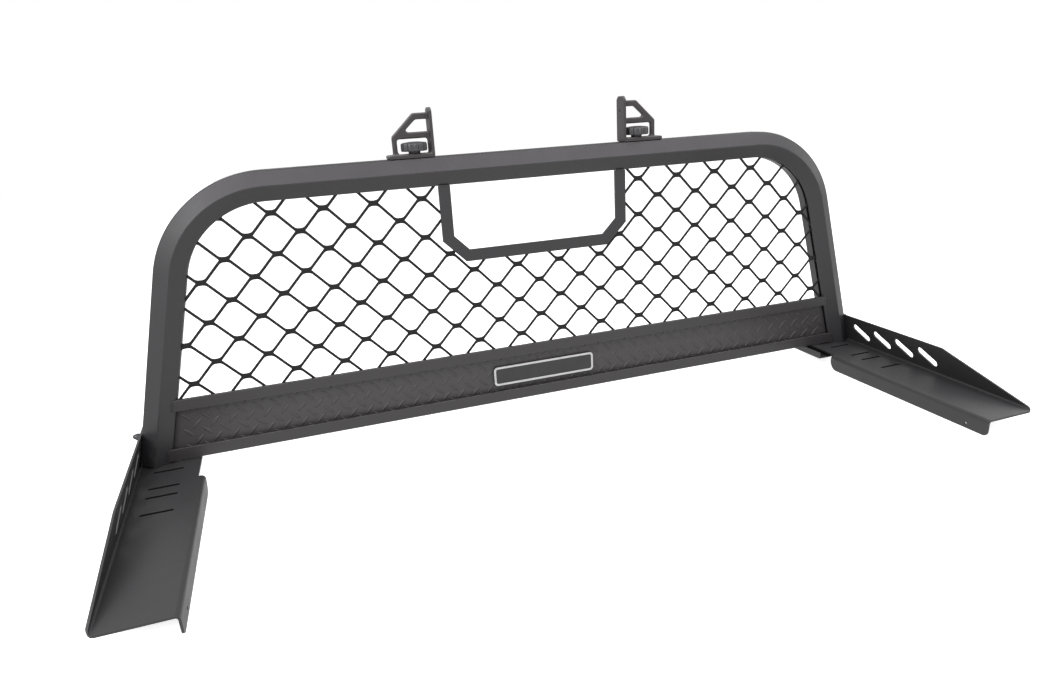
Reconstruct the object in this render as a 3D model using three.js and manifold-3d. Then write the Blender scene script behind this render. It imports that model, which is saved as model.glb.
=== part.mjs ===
// Bed-rail headache rack with an expanded-metal window guard and adjustable load stops.
//
// Millimetres. X runs across the vehicle, +Y points forward to the cab, -Y back over the bed, +Z up.
// The origin lies on the centre plane, in the plane of the mesh, level with the top of the bed rails.

import * as THREE from 'three';
import { mergeVertices } from 'three/addons/utils/BufferGeometryUtils.js';
import Module from 'manifold-3d';

const wasm = await Module();
wasm.setup();

// ---------------------------------------------------------------- driving dimensions

const GAP = 0.3;                 // clearance kept between touching pieces

// Hexagonal hoop tube
const TUBE_FLATS = 60;           // across flats, measured in the plane of the hoop
const TUBE_WALL = 3.2;
const TUBE_Y = 12;               // centre of the tube section
const TOP_Z = 548.3;             // centre line of the top run
const FOOT_X = 866.5;            // centre line of an upright at z = 0
const SPLAY = 0.262;             // outward run of an upright per unit of drop
const BEND_RADIUS = 205;         // centre line radius of the two shoulders
const BEND_STEPS = 12;
const SLOT_WIDTH = 4;            // lengthwise slot that holds the mesh edge
const STOP_SLOT = { length: 1010, width: 9 };

// Expanded-metal mesh
const MESH_THICK = 3;
const MESH_PITCH_X = 50.8;       // half the long way of a diamond
const MESH_PITCH_Z = 41.15;      // half the short way of a diamond
const MESH_ROW_Z = 494.7;        // height of one row of knots
const MESH_BOTTOM_Z = 119;
const MESH_INSERT = 6;           // depth of the mesh edge inside the tube slot

// Brake-light window
const WINDOW_HALF = 192.4;
const WINDOW_BOTTOM_Z = 376.6;
const WINDOW_CHAMFER = 33;
const WINDOW_BAR = 25.4;
const WINDOW_THICK = 6.5;
const WINDOW_BACK_Y = -1.8;

// Lower panel
const RAIL_FRONT_Y = -10;
const SHEET = 3;
const UPPER_RAIL = { bottom: 115.3, top: 139 };
const LOWER_RAIL = { bottom: 7.6, top: 33.5 };
const TREAD = { front: 2.2, thick: 3, bottom: 11.2, top: 118 };

// Badge plate, left blank
const BADGE = { width: 252, height: 46, z: 69, thick: 6, corner: 9, studX: 90 };

// Bed-rail bracket, bent from one sheet
const PLATE = 4;
const BRACKET_INNER_X = 763.5;
const BRACKET_FRONT_Y = -554;
const BRACKET_REAR_Y = 50;
const BRACKET_TAPER = 0.024;     // the rising flange runs inboard towards the front
const BEND_IN = 4;               // inside radius of the bends
const DROP_FLANGE = { bottom: -32, rear: -95, rearCorner: 22, frontCorner: 10 };
const DROP_HOLE = { y: -502, z: -22, radius: 3 };
const RISE_FLANGE = { height: 77, kinkY: -328, tipY: -543, tip: 9, corner: 13 };
const PLATE_SLOTS_Y = [-42, -116, -154, -220];
const PLATE_SLOT = { x: 837, length: 58, width: 7 };
const FLANGE_SLOTS_Y = [-63.5, -137, -210, -283];
const FLANGE_SLOT = { z: 39.5, length: 62, width: 16.5, angle: 0.475 };

// Channel under the right-hand bracket
const CHANNEL = {
  inner: 751, outer: 800, front: -67, rear: 48, bottom: -11, lip: 5.5, wall: 2.5,
};
const FLANGE_BOLT_Z = 57;

// Load stops
const STOP_X = 257;              // knob axis
const STOP_FACE_X = 217;
const STOP_TOP_Z = 677;
const STOP_DEPTH = 38;
const STOP_WEB = 10;
const STOP_BASE = 7.5;
const STOP_EYE_Z = 644.5;
const STOP_FRAME = {
  brace: 666.5, cross: 623.5, bar: 11.5, shoulderX: 254.5, legX: 301, tailX: 314.5,
};
const KNOB = {
  radius: 27.5, lobes: 12, flute: 2.8, bottom: 592, top: 611, bossRadius: 14, bossBottom: 588.3,
};

// Fasteners
const STUD_R = 4;
const HOLE_R = 4.5;

const TOP_FACE_Z = TOP_Z + TUBE_FLATS / 2;
const THETA = Math.atan(SPLAY);
const HEX_R = TUBE_FLATS / Math.sqrt(3);

// ---------------------------------------------------------------- materials

function finish(color, roughness, metalness) {
  return () => new THREE.MeshStandardMaterial({ color, roughness, metalness });
}

const powderCoat = finish(0x333336, 0.62, 0.25);
const castBlack = finish(0x3b3938, 0.6, 0.3);
const plasticBlack = finish(0x2b2b2d, 0.5, 0);
const nylon = finish(0x1c1c1e, 0.6, 0);
const zinc = finish(0x8d8d90, 0.4, 0.9);
const blackZinc = finish(0x2c2c2e, 0.45, 0.7);
const badgeFinish = finish(0x3f4043, 0.4, 0.5);

const rack = new THREE.Group();

function add(name, geometry, material) {
  const mesh = new THREE.Mesh(geometry, material());
  mesh.name = name;
  rack.add(mesh);
}

// ---------------------------------------------------------------- solids and booleans

// Positions only, each corner stored once.
function welded(geometry) {
  const bare = geometry.clone();
  bare.deleteAttribute('normal');
  bare.deleteAttribute('uv');
  return mergeVertices(bare, 1e-4);
}

function solid(geometry) {
  const merged = welded(geometry);
  return new wasm.Manifold(new wasm.Mesh({
    numProp: 3,
    vertProperties: new Float32Array(merged.attributes.position.array),
    triVerts: new Uint32Array(merged.index.array),
  }));
}

function toGeometry(manifold) {
  const mesh = manifold.getMesh();
  const geometry = new THREE.BufferGeometry();
  geometry.setAttribute('position', new THREE.BufferAttribute(mesh.vertProperties, 3));
  geometry.setIndex(new THREE.BufferAttribute(mesh.triVerts, 1));
  geometry.computeVertexNormals();
  return geometry;
}

function cut(body, ...tools) {
  return tools.reduce((rest, tool) => rest.subtract(solid(tool)), body);
}

function box(x0, x1, y0, y1, z0, z1) {
  const geometry = new THREE.BoxGeometry(x1 - x0, y1 - y0, z1 - z0);
  return geometry.translate((x0 + x1) / 2, (y0 + y1) / 2, (z0 + z1) / 2);
}

function outline(points) {
  return new THREE.Shape(points.map(([u, v]) => new THREE.Vector2(u, v)));
}

// Extrudes a shape drawn in X and Z between two values of Y.
function slabXZ(shapes, y0, y1) {
  const geometry = new THREE.ExtrudeGeometry(shapes, { depth: y1 - y0, bevelEnabled: false });
  return geometry.rotateX(Math.PI / 2).translate(0, y1, 0);
}

// Extrudes a shape drawn in X and Y between two values of Z.
function slabXY(shapes, z0, z1, curveSegments = 6) {
  const options = { depth: z1 - z0, bevelEnabled: false, curveSegments };
  return new THREE.ExtrudeGeometry(shapes, options).translate(0, 0, z0);
}

// Extrudes a shape drawn in Y and Z between two values of X.
function slabYZ(shapes, x0, x1, curveSegments = 6) {
  const options = { depth: x1 - x0, bevelEnabled: false, curveSegments };
  const turn = new THREE.Matrix4().makeBasis(
    new THREE.Vector3(0, 1, 0), new THREE.Vector3(0, 0, 1), new THREE.Vector3(1, 0, 0));
  return new THREE.ExtrudeGeometry(shapes, options).applyMatrix4(turn).translate(x0, 0, 0);
}

function roundedRect(width, height, radius) {
  const shape = new THREE.Shape();
  const a = width / 2 - radius;
  const b = height / 2 - radius;
  shape.absarc(a, b, radius, 0, Math.PI / 2);
  shape.absarc(-a, b, radius, Math.PI / 2, Math.PI);
  shape.absarc(-a, -b, radius, Math.PI, 1.5 * Math.PI);
  shape.absarc(a, -b, radius, 1.5 * Math.PI, 2 * Math.PI);
  return shape;
}

// A cylinder along Z between two heights.
function post(radius, z0, z1, sides = 20) {
  const geometry = new THREE.CylinderGeometry(radius, radius, z1 - z0, sides);
  return geometry.rotateX(Math.PI / 2).translate(0, 0, (z0 + z1) / 2);
}

// The same body on the other side of the centre plane, with its faces turned to point out again.
function mirrored(geometry) {
  const twin = welded(geometry).scale(-1, 1, 1);
  const order = twin.index.array;
  for (let i = 0; i < order.length; i += 3) {
    [order[i + 1], order[i + 2]] = [order[i + 2], order[i + 1]];
  }
  twin.computeVertexNormals();
  return twin;
}

function addPair(name, geometry, material) {
  add(`${name}_right`, geometry, material);
  add(`${name}_left`, mirrored(geometry), material);
}

// ---------------------------------------------------------------- hoop path

// The centre line of the hoop, from below the left foot over the top to below the right foot.
class HoopPath extends THREE.Curve {
  constructor() {
    super();
    this.stations = [];
    const centreZ = TOP_Z - BEND_RADIUS;
    const centreX = FOOT_X - SPLAY * centreZ - BEND_RADIUS / Math.cos(THETA);
    const drop = -40;
    const foot = FOOT_X - SPLAY * drop;
    const side = [];
    side.push({ x: foot, z: drop, angle: THETA });
    for (let i = 0; i <= BEND_STEPS; i += 1) {
      const angle = THETA + (Math.PI / 2 - THETA) * i / BEND_STEPS;
      side.push({
        x: centreX + BEND_RADIUS * Math.cos(angle),
        z: centreZ + BEND_RADIUS * Math.sin(angle),
        angle,
      });
    }
    const left = side.map(({ x, z, angle }) => ({ x: -x, z, angle: Math.PI - angle }));
    this.stations = [...left, ...side.reverse()];
    this.count = this.stations.length - 1;
  }

  at(u) {
    return this.stations[Math.round(u * this.count)];
  }

  getPointAt(u, target = new THREE.Vector3()) {
    const { x, z } = this.at(u);
    return target.set(x, 0, z);
  }

  getTangentAt(u, target = new THREE.Vector3()) {
    const { angle } = this.at(u);
    return target.set(Math.sin(angle), 0, -Math.cos(angle));
  }
}

const hoopPath = new HoopPath();

// Sweeps a section round the hoop. Its points are [towards -Y, towards the inside of the hoop].
function sweep(section) {
  return new THREE.ExtrudeGeometry(outline(section), {
    steps: hoopPath.count,
    extrudePath: hoopPath,
  });
}

// Corner points of the tube's hexagon, grown or shrunk by an offset from its faces.
function hexagon(offset) {
  const radius = HEX_R + offset * 2 / Math.sqrt(3);
  return [0, 1, 2, 3, 4, 5].map((i) => {
    const angle = i * Math.PI / 3;
    return [radius * Math.cos(angle) - TUBE_Y, radius * Math.sin(angle)];
  });
}

// The boundary of the hoop's inside at a given distance inwards from its centre line.
function hoopInside(inward, bottomZ) {
  const points = hoopPath.stations.slice(1, -1).map(({ x, z, angle }) => (
    [x - inward * Math.cos(angle), z - inward * Math.sin(angle)]));
  const side = FOOT_X - SPLAY * bottomZ - inward / Math.cos(THETA);
  return [[-side, bottomZ], ...points, [side, bottomZ]];
}

// ---------------------------------------------------------------- frame

// Trims the outer toe of a foot clear of the bracket's inside bend.
function toeCutters() {
  const start = riseBend().x - 4;
  const right = slabXZ(outline([[start, 3], [start + 40, 3], [start + 40, 43]]), -60, 80);
  return [right, mirrored(right)];
}

function hoopTube() {
  const outer = hexagon(0);
  const inner = hexagon(-TUBE_WALL);
  const half = SLOT_WIDTH / 2;
  const face = TUBE_FLATS / 2;
  const lip = face - TUBE_WALL;
  const section = [
    [half, face], outer[1], outer[0], outer[5], outer[4], outer[3], outer[2], [-half, face],
    [-half, lip], inner[2], inner[3], inner[4], inner[5], inner[0], inner[1], [half, lip],
  ];
  const { length, width } = STOP_SLOT;
  const slot = slabXY(roundedRect(length, width, width / 2 - 0.01), TOP_Z + 20, TOP_Z + 40)
    .translate(0, TUBE_Y, 0);
  const boltHole = flangeAxis(post(HOLE_R, -12, 8));
  const floor = box(-1000, 1000, -100, 120, -100, PLATE + GAP);
  const body = solid(sweep(section));
  return toGeometry(cut(body, slot, floor, ...toeCutters(), boltHole, mirrored(boltHole)));
}

function footPlugs() {
  const bar = solid(sweep(hexagon(-TUBE_WALL - GAP)));
  const slice = solid(box(700, 1000, -100, 120, PLATE + GAP, PLATE + 9));
  const screw = post(HOLE_R, 0, 40).translate(FOOT_X - 3, TUBE_Y, 0);
  return toGeometry(cut(bar.intersect(slice), screw, toeCutters()[0]));
}

function meshPanel() {
  const inward = TUBE_FLATS / 2 - MESH_INSERT;
  const half = MESH_THICK / 2;
  const sheet = slabXZ(outline(hoopInside(inward, MESH_BOTTOM_Z)), -half, half);
  const tipX = MESH_PITCH_X - 8;
  const flatX = 7;
  const flatZ = MESH_PITCH_Z - 4.5;
  const holes = [];
  for (let row = -1; row <= 10; row += 1) {
    for (let column = -17; column <= 17; column += 1) {
      if ((row + column) % 2 === 0) {
        const x = column * MESH_PITCH_X;
        const z = MESH_ROW_Z - row * MESH_PITCH_Z;
        holes.push(outline([
          [x + tipX, z], [x + flatX, z + flatZ], [x - flatX, z + flatZ],
          [x - tipX, z], [x - flatX, z - flatZ], [x + flatX, z - flatZ],
        ]));
      }
    }
  }
  const opening = slabXZ(outline(windowOutline(12, TOP_Z)), -5, 5);
  return toGeometry(cut(solid(sheet), slabXZ(holes, -5, 5), opening));
}

// The window's edge, offset outwards from its clear opening.
function windowOutline(offset, top = TOP_Z - TUBE_FLATS / 2 - GAP) {
  const x = WINDOW_HALF + offset;
  const z = WINDOW_BOTTOM_Z - offset;
  const chamfer = WINDOW_CHAMFER + offset * 0.6;
  return [
    [-x, top], [-x, z + chamfer], [-x + chamfer, z],
    [x - chamfer, z], [x, z + chamfer], [x, top],
  ];
}

function windowFrame() {
  const inner = windowOutline(0).reverse();
  const shape = outline([...windowOutline(WINDOW_BAR), ...inner]);
  return slabXZ(shape, WINDOW_BACK_Y - WINDOW_THICK, WINDOW_BACK_Y);
}

// A folded strip running from upright to upright, its ends trimmed to the tube's faces.
function crossRail(section, bottomZ, topZ) {
  const long = slabYZ(outline(section), -900, 900);
  const reach = 5 / Math.cos(THETA);
  const low = FOOT_X - SPLAY * bottomZ - reach;
  const high = FOOT_X - SPLAY * topZ - reach;
  const trim = outline([[-low, bottomZ], [low, bottomZ], [high, topZ], [-high, topZ]]);
  const ends = slabXZ(trim, -50, 50);
  const blank = solid(long).intersect(solid(ends));
  return toGeometry(cut(blank, sweep(hexagon(GAP))));
}

function upperRail() {
  const { bottom, top } = UPPER_RAIL;
  const y = RAIL_FRONT_Y;
  const back = -MESH_THICK / 2 - GAP;
  return crossRail([
    [y, bottom], [y + SHEET, bottom], [y + SHEET, top - SHEET],
    [back, top - SHEET], [back, top], [y, top],
  ], bottom - 1, top + 1);
}

function lowerRail() {
  const { bottom, top } = LOWER_RAIL;
  const y = RAIL_FRONT_Y;
  const back = TREAD.front + TREAD.thick + GAP;
  return crossRail([
    [y, bottom], [back + SHEET, bottom], [back + SHEET, top], [back, top],
    [back, bottom + SHEET], [y + SHEET, bottom + SHEET], [y + SHEET, top], [y, top],
  ], bottom - 1, top + 1);
}

function treadPlate() {
  const { front, thick, bottom, top } = TREAD;
  const end = (z) => FOOT_X - SPLAY * z - (TUBE_FLATS / 2 + GAP) / Math.cos(THETA);
  const shape = outline([
    [-end(bottom), bottom], [end(bottom), bottom], [end(top), top], [-end(top), top],
  ]);
  const sheet = solid(slabXZ(shape, front, front + thick));
  const holes = [-1, 1].map((side) => post(2.7, -6, 6, 12).rotateX(Math.PI / 2)
    .translate(side * BADGE.studX, front, BADGE.z));
  return toGeometry(cut(sheet, ...holes));
}

function badgePlate() {
  const { width, height, corner, thick, z, studX } = BADGE;
  const back = TREAD.front - GAP;
  const front = back - thick;
  const face = solid(slabXZ(roundedRect(width, height, corner), front, back).translate(0, 0, z));
  const field = roundedRect(width - 10, height - 10, corner - 4);
  const sunk = slabXZ(field, front - 1, front + 1.2).translate(0, 0, z);
  const studs = [-1, 1].map((side) => solid(
    post(2.4, -5, 5, 10).rotateX(Math.PI / 2).translate(side * studX, back + 3, z)));
  return toGeometry(studs.reduce((body, stud) => body.add(stud), cut(face, sunk)));
}

// ---------------------------------------------------------------- bed-rail brackets

// Space between a flat of the tube and the rising flange, which closes in towards the front:
// at y = 0, and on the axis of the flange bolt.
const FLANGE_CLEAR = GAP + 0.1 + BRACKET_TAPER * (TUBE_FLATS / Math.sqrt(3) / 2 - TUBE_Y);
const BOLT_CLEAR = FLANGE_CLEAR + BRACKET_TAPER * TUBE_Y;

// Centre of the inside bend between the bracket's plate and its rising flange, at y = 0.
function riseBend() {
  const z = PLATE + BEND_IN;
  const face = FOOT_X * Math.cos(THETA) + TUBE_FLATS / 2 + FLANGE_CLEAR;
  const x = (face - BEND_IN - z * Math.sin(THETA)) / Math.cos(THETA);
  return { x, z };
}

function arc(cx, cz, radius, from, to, steps = 5) {
  const points = [];
  for (let i = 0; i <= steps; i += 1) {
    const angle = from + (to - from) * i / steps;
    points.push([cx + radius * Math.cos(angle), cz + radius * Math.sin(angle)]);
  }
  return points;
}

// Section of the bent sheet in X and Z: dropping flange, plate and leaning rising flange.
function bracketSection() {
  const bend = riseBend();
  const top = RISE_FLANGE.height + 6;
  const outer = BEND_IN + PLATE;
  const dropX = BRACKET_INNER_X + outer;
  const lean = (point) => [point[0] - (top - point[1]) * Math.tan(THETA), top];
  const inside = arc(bend.x, bend.z, BEND_IN, -Math.PI / 2, THETA);
  const outside = arc(bend.x, bend.z, outer, THETA, -Math.PI / 2);
  return [
    [BRACKET_INNER_X, DROP_FLANGE.bottom],
    [BRACKET_INNER_X + PLATE, DROP_FLANGE.bottom],
    ...arc(dropX, -BEND_IN, BEND_IN, Math.PI, Math.PI / 2),
    ...outside.reverse(),
    lean(outside[outside.length - 1]),
    lean(inside[inside.length - 1]),
    ...inside.reverse(),
    ...arc(dropX, -BEND_IN, outer, Math.PI / 2, Math.PI),
  ];
}

// Places a geometry built along Z on the flange bolt's axis, with z = 0 on the flange's outer face.
function flangeAxis(geometry) {
  const reach = TUBE_FLATS / 2 + BOLT_CLEAR + PLATE;
  return geometry.rotateY(Math.PI / 2 - THETA).translate(
    FOOT_X - SPLAY * FLANGE_BOLT_Z + reach * Math.cos(THETA),
    TUBE_Y,
    FLANGE_BOLT_Z + reach * Math.sin(THETA),
  );
}

// Removes the sharp corner outside a rounded one; du and dv point from the corner into the sheet.
function cornerCutter(u, v, radius, du, dv, from, to, slab = slabYZ) {
  const cu = u + du * radius;
  const cv = v + dv * radius;
  const points = [];
  for (let i = 0; i <= 5; i += 1) {
    const angle = i * Math.PI / 10;
    points.push([cu - du * radius * Math.sin(angle), cv - dv * radius * Math.cos(angle)]);
  }
  points.push([u - du, cv], [u - du, v - dv], [cu, v - dv]);
  return slab(outline(du * dv > 0 ? points.reverse() : points), from, to);
}

// The bent sheet before cutting, with its outboard bend and flange closing in towards the front.
function taperedSheet() {
  const sheet = new THREE.ExtrudeGeometry(outline(bracketSection()), {
    depth: BRACKET_REAR_Y - BRACKET_FRONT_Y,
    bevelEnabled: false,
  }).rotateX(Math.PI / 2).translate(0, BRACKET_REAR_Y, 0);
  const place = sheet.attributes.position;
  for (let i = 0; i < place.count; i += 1) {
    if (place.getX(i) > 840) place.setX(i, place.getX(i) + BRACKET_TAPER * place.getY(i));
  }
  return sheet;
}

function railBracket() {
  const { height, kinkY, tipY, tip, corner } = RISE_FLANGE;
  const { bottom, rearCorner, frontCorner } = DROP_FLANGE;
  const bent = solid(taperedSheet());
  const above = slabYZ(outline([
    [BRACKET_REAR_Y + 9, height], [BRACKET_REAR_Y + 9, 200], [BRACKET_FRONT_Y - 9, 200],
    [BRACKET_FRONT_Y - 9, PLATE + 0.5], [BRACKET_FRONT_Y, PLATE + 0.5], [tipY, tip], [kinkY, height],
  ].reverse()), 840, 1000);
  const edgeX = riseBend().x + BEND_IN + PLATE + BRACKET_TAPER * BRACKET_FRONT_Y;
  const inner = BRACKET_INNER_X + PLATE + BEND_IN + 4;
  const cutters = [
    above,
    cornerCutter(edgeX, BRACKET_FRONT_Y, corner, -1, 1, -20, 40, slabXY),
    box(700, inner + 1, DROP_FLANGE.rear, 100, -90, 20),
    cornerCutter(DROP_FLANGE.rear, bottom, rearCorner, -1, 1, 700, inner - 6),
    cornerCutter(BRACKET_FRONT_Y, bottom, frontCorner, 1, 1, 700, inner - 6),
    post(DROP_HOLE.radius, -20, 20, 12).rotateY(Math.PI / 2)
      .translate(BRACKET_INNER_X, DROP_HOLE.y, DROP_HOLE.z),
    flangeAxis(post(HOLE_R, -9, 5)),
    post(HOLE_R, -9, 9).translate(FOOT_X - 3, TUBE_Y, 0),
    countersink(GAP),
    ...PLATE_SLOTS_Y.map((y) => slabXY(
      roundedRect(PLATE_SLOT.length, PLATE_SLOT.width, PLATE_SLOT.width / 2 - 0.01), -9, 9, 4)
      .translate(PLATE_SLOT.x, y, 0)),
    ...FLANGE_SLOTS_Y.map((y) => slabYZ(
      roundedRect(FLANGE_SLOT.length, FLANGE_SLOT.width, FLANGE_SLOT.width / 2 - 0.01), 840, 940, 4)
      .rotateX(FLANGE_SLOT.angle).translate(0, y, FLANGE_SLOT.z)),
  ];
  return toGeometry(cut(bent, ...cutters));
}

// Cone of the flat-head screw that rises through the bracket into the foot.
function countersink(clearance) {
  const cone = new THREE.CylinderGeometry(3.5 + clearance, 8.5 + clearance, 5, 20);
  return cone.rotateX(Math.PI / 2).translate(FOOT_X - 3, TUBE_Y, 2.5 - 0.3);
}

function footScrew() {
  const shank = solid(post(STUD_R, 2, 22, 14).translate(FOOT_X - 3, TUBE_Y, 0));
  return toGeometry(shank.add(solid(countersink(0))));
}

function flangeBolt() {
  const under = -PLATE - BOLT_CLEAR - TUBE_WALL - GAP;
  const head = post(7.5, under - 5.3, under, 6);
  const shank = post(STUD_R, under - 1, 9, 14);
  return flangeAxis(toGeometry(solid(head).add(solid(shank))));
}

function flangeNut() {
  const hex = post(7.5, GAP + 0.2, 6.5, 6);
  const profile = [[0, 3], [6.4, 3], [6.4, 6.5], [5.6, 9], [4.6, 11.6], [2.8, 13.2], [0, 13.8]]
    .map(([r, z]) => new THREE.Vector2(r, z));
  const dome = new THREE.LatheGeometry(profile, 14);
  const bore = post(HOLE_R, -2, 9.6, 14);
  return flangeAxis(toGeometry(cut(solid(hex).add(solid(dome.rotateX(Math.PI / 2))), bore)));
}

// Shallow open-topped channel under the rear of the right-hand bracket, with a taller inboard wall.
function railChannel() {
  const { inner, outer, front, rear, bottom, lip, wall } = CHANNEL;
  const top = -GAP;
  const section = outline([
    [inner, bottom], [outer, bottom], [outer, top], [outer - wall, top],
    [outer - wall, bottom + wall], [inner + wall, bottom + wall], [inner + wall, lip], [inner, lip],
  ]);
  return slabXZ(section, front, rear);
}

// ---------------------------------------------------------------- load stops

function loadStop() {
  const floor = TOP_FACE_Z + GAP;
  const deck = floor + STOP_BASE;
  const half = STOP_DEPTH / 2;
  const { brace, cross, bar, shoulderX, legX, tailX } = STOP_FRAME;
  const web = solid(slabXZ(outline([
    [STOP_FACE_X + 2, floor + 2], [legX, floor + 2], [legX, cross - 1],
    [shoulderX, brace], [STOP_FACE_X + 2, brace],
  ]), TUBE_Y - STOP_WEB / 2, TUBE_Y + STOP_WEB / 2));
  const base = solid(slabXY(roundedRect(tailX - STOP_FACE_X, STOP_DEPTH, 5), floor, deck, 3)
    .translate((tailX + STOP_FACE_X) / 2, TUBE_Y, 0));
  const ear = 7;
  const face = solid(slabYZ(outline([
    [TUBE_Y - half, floor], [TUBE_Y + half, floor], [TUBE_Y + half, STOP_TOP_Z - ear],
    [TUBE_Y + half - ear, STOP_TOP_Z], [TUBE_Y - half + ear, STOP_TOP_Z],
    [TUBE_Y - half, STOP_TOP_Z - ear],
  ]), STOP_FACE_X, STOP_FACE_X + 6));
  const crossTop = cross + bar / 2;
  const crossUnder = cross - bar / 2;
  const top = outline([
    [STOP_FACE_X + 7.5, crossTop], [legX - 33, crossTop], [legX - 28, crossTop + 5],
    [shoulderX - 4.5, brace - bar], [STOP_FACE_X + 7.5, brace - bar],
  ]);
  const low = outline([
    [STOP_FACE_X + 9.5, deck], [legX - 12, deck], [legX - 8.5, deck + 5],
    [legX - 8.5, crossUnder - 3], [legX - 11.5, crossUnder],
    [STOP_FACE_X + 12.5, crossUnder], [STOP_FACE_X + 9.5, crossUnder - 3],
  ]);
  const windows = slabXZ([top, low], TUBE_Y - 20, TUBE_Y + 20);
  const bore = post(HOLE_R, floor - 5, deck + 5).translate(STOP_X, TUBE_Y, 0);
  const eye = post(3.5, -20, 20, 14).rotateY(Math.PI / 2)
    .translate(STOP_FACE_X, TUBE_Y + 3, STOP_EYE_Z);
  return toGeometry(cut(cut(web, windows).add(base).add(face), bore, eye));
}

// Lobed hand knob with a round boss below it and a blind hole for the stud.
function knob() {
  const { radius, lobes, flute, bottom, top, bossRadius, bossBottom } = KNOB;
  const points = [];
  const count = lobes * 6;
  for (let i = 0; i < count; i += 1) {
    const angle = 2 * Math.PI * i / count;
    const reach = radius - flute * (0.5 - 0.5 * Math.cos(lobes * angle)) ** 2;
    points.push([reach * Math.cos(angle), reach * Math.sin(angle)]);
  }
  const grip = solid(slabXY(outline(points), bottom, top));
  const boss = solid(post(bossRadius, bossBottom, bottom + 2, 24));
  const bore = solid(post(HOLE_R, bossBottom - 5, top - 5, 16));
  return toGeometry(grip.add(boss).subtract(bore)).translate(STOP_X, TUBE_Y, 0);
}

function knobStud() {
  const rod = post(STUD_R, TOP_FACE_Z - 17, KNOB.top - 5.5, 16);
  return mergeVertices(rod).translate(STOP_X, TUBE_Y, 0);
}

function knobWasher() {
  const top = KNOB.bossBottom - GAP;
  const disc = solid(post(12.5, top - 1.6, top, 24));
  return toGeometry(cut(disc, post(HOLE_R, top - 9, top + 9, 16))).translate(STOP_X, TUBE_Y, 0);
}

function tNut() {
  const top = TOP_FACE_Z - TUBE_WALL - GAP;
  const block = box(STOP_X - 12, STOP_X + 12, TUBE_Y - 9, TUBE_Y + 9, top - 11, top);
  const bore = post(HOLE_R, top - 20, top + 9, 16).translate(STOP_X, TUBE_Y, 0);
  return toGeometry(cut(solid(block), bore));
}

// ---------------------------------------------------------------- assembly

add('hoop_tube', hoopTube(), powderCoat);
add('mesh_panel', meshPanel(), powderCoat);
add('window_frame', windowFrame(), powderCoat);
add('upper_rail', upperRail(), powderCoat);
add('tread_plate', treadPlate(), powderCoat);
add('lower_rail', lowerRail(), powderCoat);
add('badge_plate', badgePlate(), badgeFinish);
addPair('foot_plug', footPlugs(), powderCoat);
addPair('rail_bracket', railBracket(), powderCoat);
addPair('foot_screw', footScrew(), zinc);
addPair('flange_bolt', flangeBolt(), blackZinc);
addPair('flange_nut', flangeNut(), blackZinc);
add('rail_channel_right', railChannel(), powderCoat);
addPair('load_stop', loadStop(), castBlack);
addPair('stop_knob', knob(), plasticBlack);
addPair('knob_stud', knobStud(), zinc);
addPair('knob_washer', knobWasher(), nylon);
addPair('t_nut', tNut(), zinc);

export default rack;
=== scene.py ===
"""Headache rack: looks, detailed pieces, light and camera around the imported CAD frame. Metres, +Z up."""

import math
import random

import bmesh
import bpy
from mathutils import Matrix, Vector


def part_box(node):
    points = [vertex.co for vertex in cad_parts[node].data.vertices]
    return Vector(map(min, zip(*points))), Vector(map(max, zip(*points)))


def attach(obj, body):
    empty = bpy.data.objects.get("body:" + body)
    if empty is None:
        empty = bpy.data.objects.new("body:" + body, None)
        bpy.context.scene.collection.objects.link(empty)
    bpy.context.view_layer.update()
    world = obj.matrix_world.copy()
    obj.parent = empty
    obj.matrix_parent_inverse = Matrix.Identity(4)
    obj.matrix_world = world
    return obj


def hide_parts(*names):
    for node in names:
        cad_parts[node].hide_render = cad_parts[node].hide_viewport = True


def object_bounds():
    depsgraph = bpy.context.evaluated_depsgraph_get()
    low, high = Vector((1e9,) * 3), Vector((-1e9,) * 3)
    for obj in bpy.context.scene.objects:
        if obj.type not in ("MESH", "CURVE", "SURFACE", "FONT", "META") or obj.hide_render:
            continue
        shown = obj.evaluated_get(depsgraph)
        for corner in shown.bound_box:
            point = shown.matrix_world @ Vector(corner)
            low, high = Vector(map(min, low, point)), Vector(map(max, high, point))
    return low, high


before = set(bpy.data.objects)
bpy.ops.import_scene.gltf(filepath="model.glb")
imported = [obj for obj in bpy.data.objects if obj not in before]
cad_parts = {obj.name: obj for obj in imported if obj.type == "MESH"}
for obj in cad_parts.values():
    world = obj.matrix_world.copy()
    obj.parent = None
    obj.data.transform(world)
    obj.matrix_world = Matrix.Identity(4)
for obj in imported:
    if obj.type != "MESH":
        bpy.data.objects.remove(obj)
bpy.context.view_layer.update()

random.seed(7)
MM = 0.001
SCENE = bpy.context.scene
SCENE.view_settings.view_transform = "Standard"

# ---------------------------------------------------------------- camera

# Where the camera stands and how it is turned, so that the frame is seen as in the photograph.
CAMERA_AT = Vector((-0.5362352, -1.5406813, 0.6636249))
CAMERA_RIGHT = Vector((0.94465658, -0.32313319, -0.05664696))
CAMERA_UP = Vector((0.15367836, 0.28331782, 0.94663297))
CAMERA_LENS = 24.682             # mm
CAMERA_SENSOR = 36               # mm


def make_camera():
    data = bpy.data.cameras.new("camera")
    data.sensor_width = CAMERA_SENSOR
    data.lens = CAMERA_LENS
    data.clip_start = 0.05
    camera = bpy.data.objects.new("camera", data)
    SCENE.collection.objects.link(camera)
    axes = Matrix((CAMERA_RIGHT, CAMERA_UP, CAMERA_RIGHT.cross(CAMERA_UP))).transposed()
    camera.matrix_world = Matrix.Translation(CAMERA_AT) @ axes.to_4x4()
    SCENE.camera = camera


make_camera()

# ---------------------------------------------------------------- dimensions shared with the frame

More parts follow.
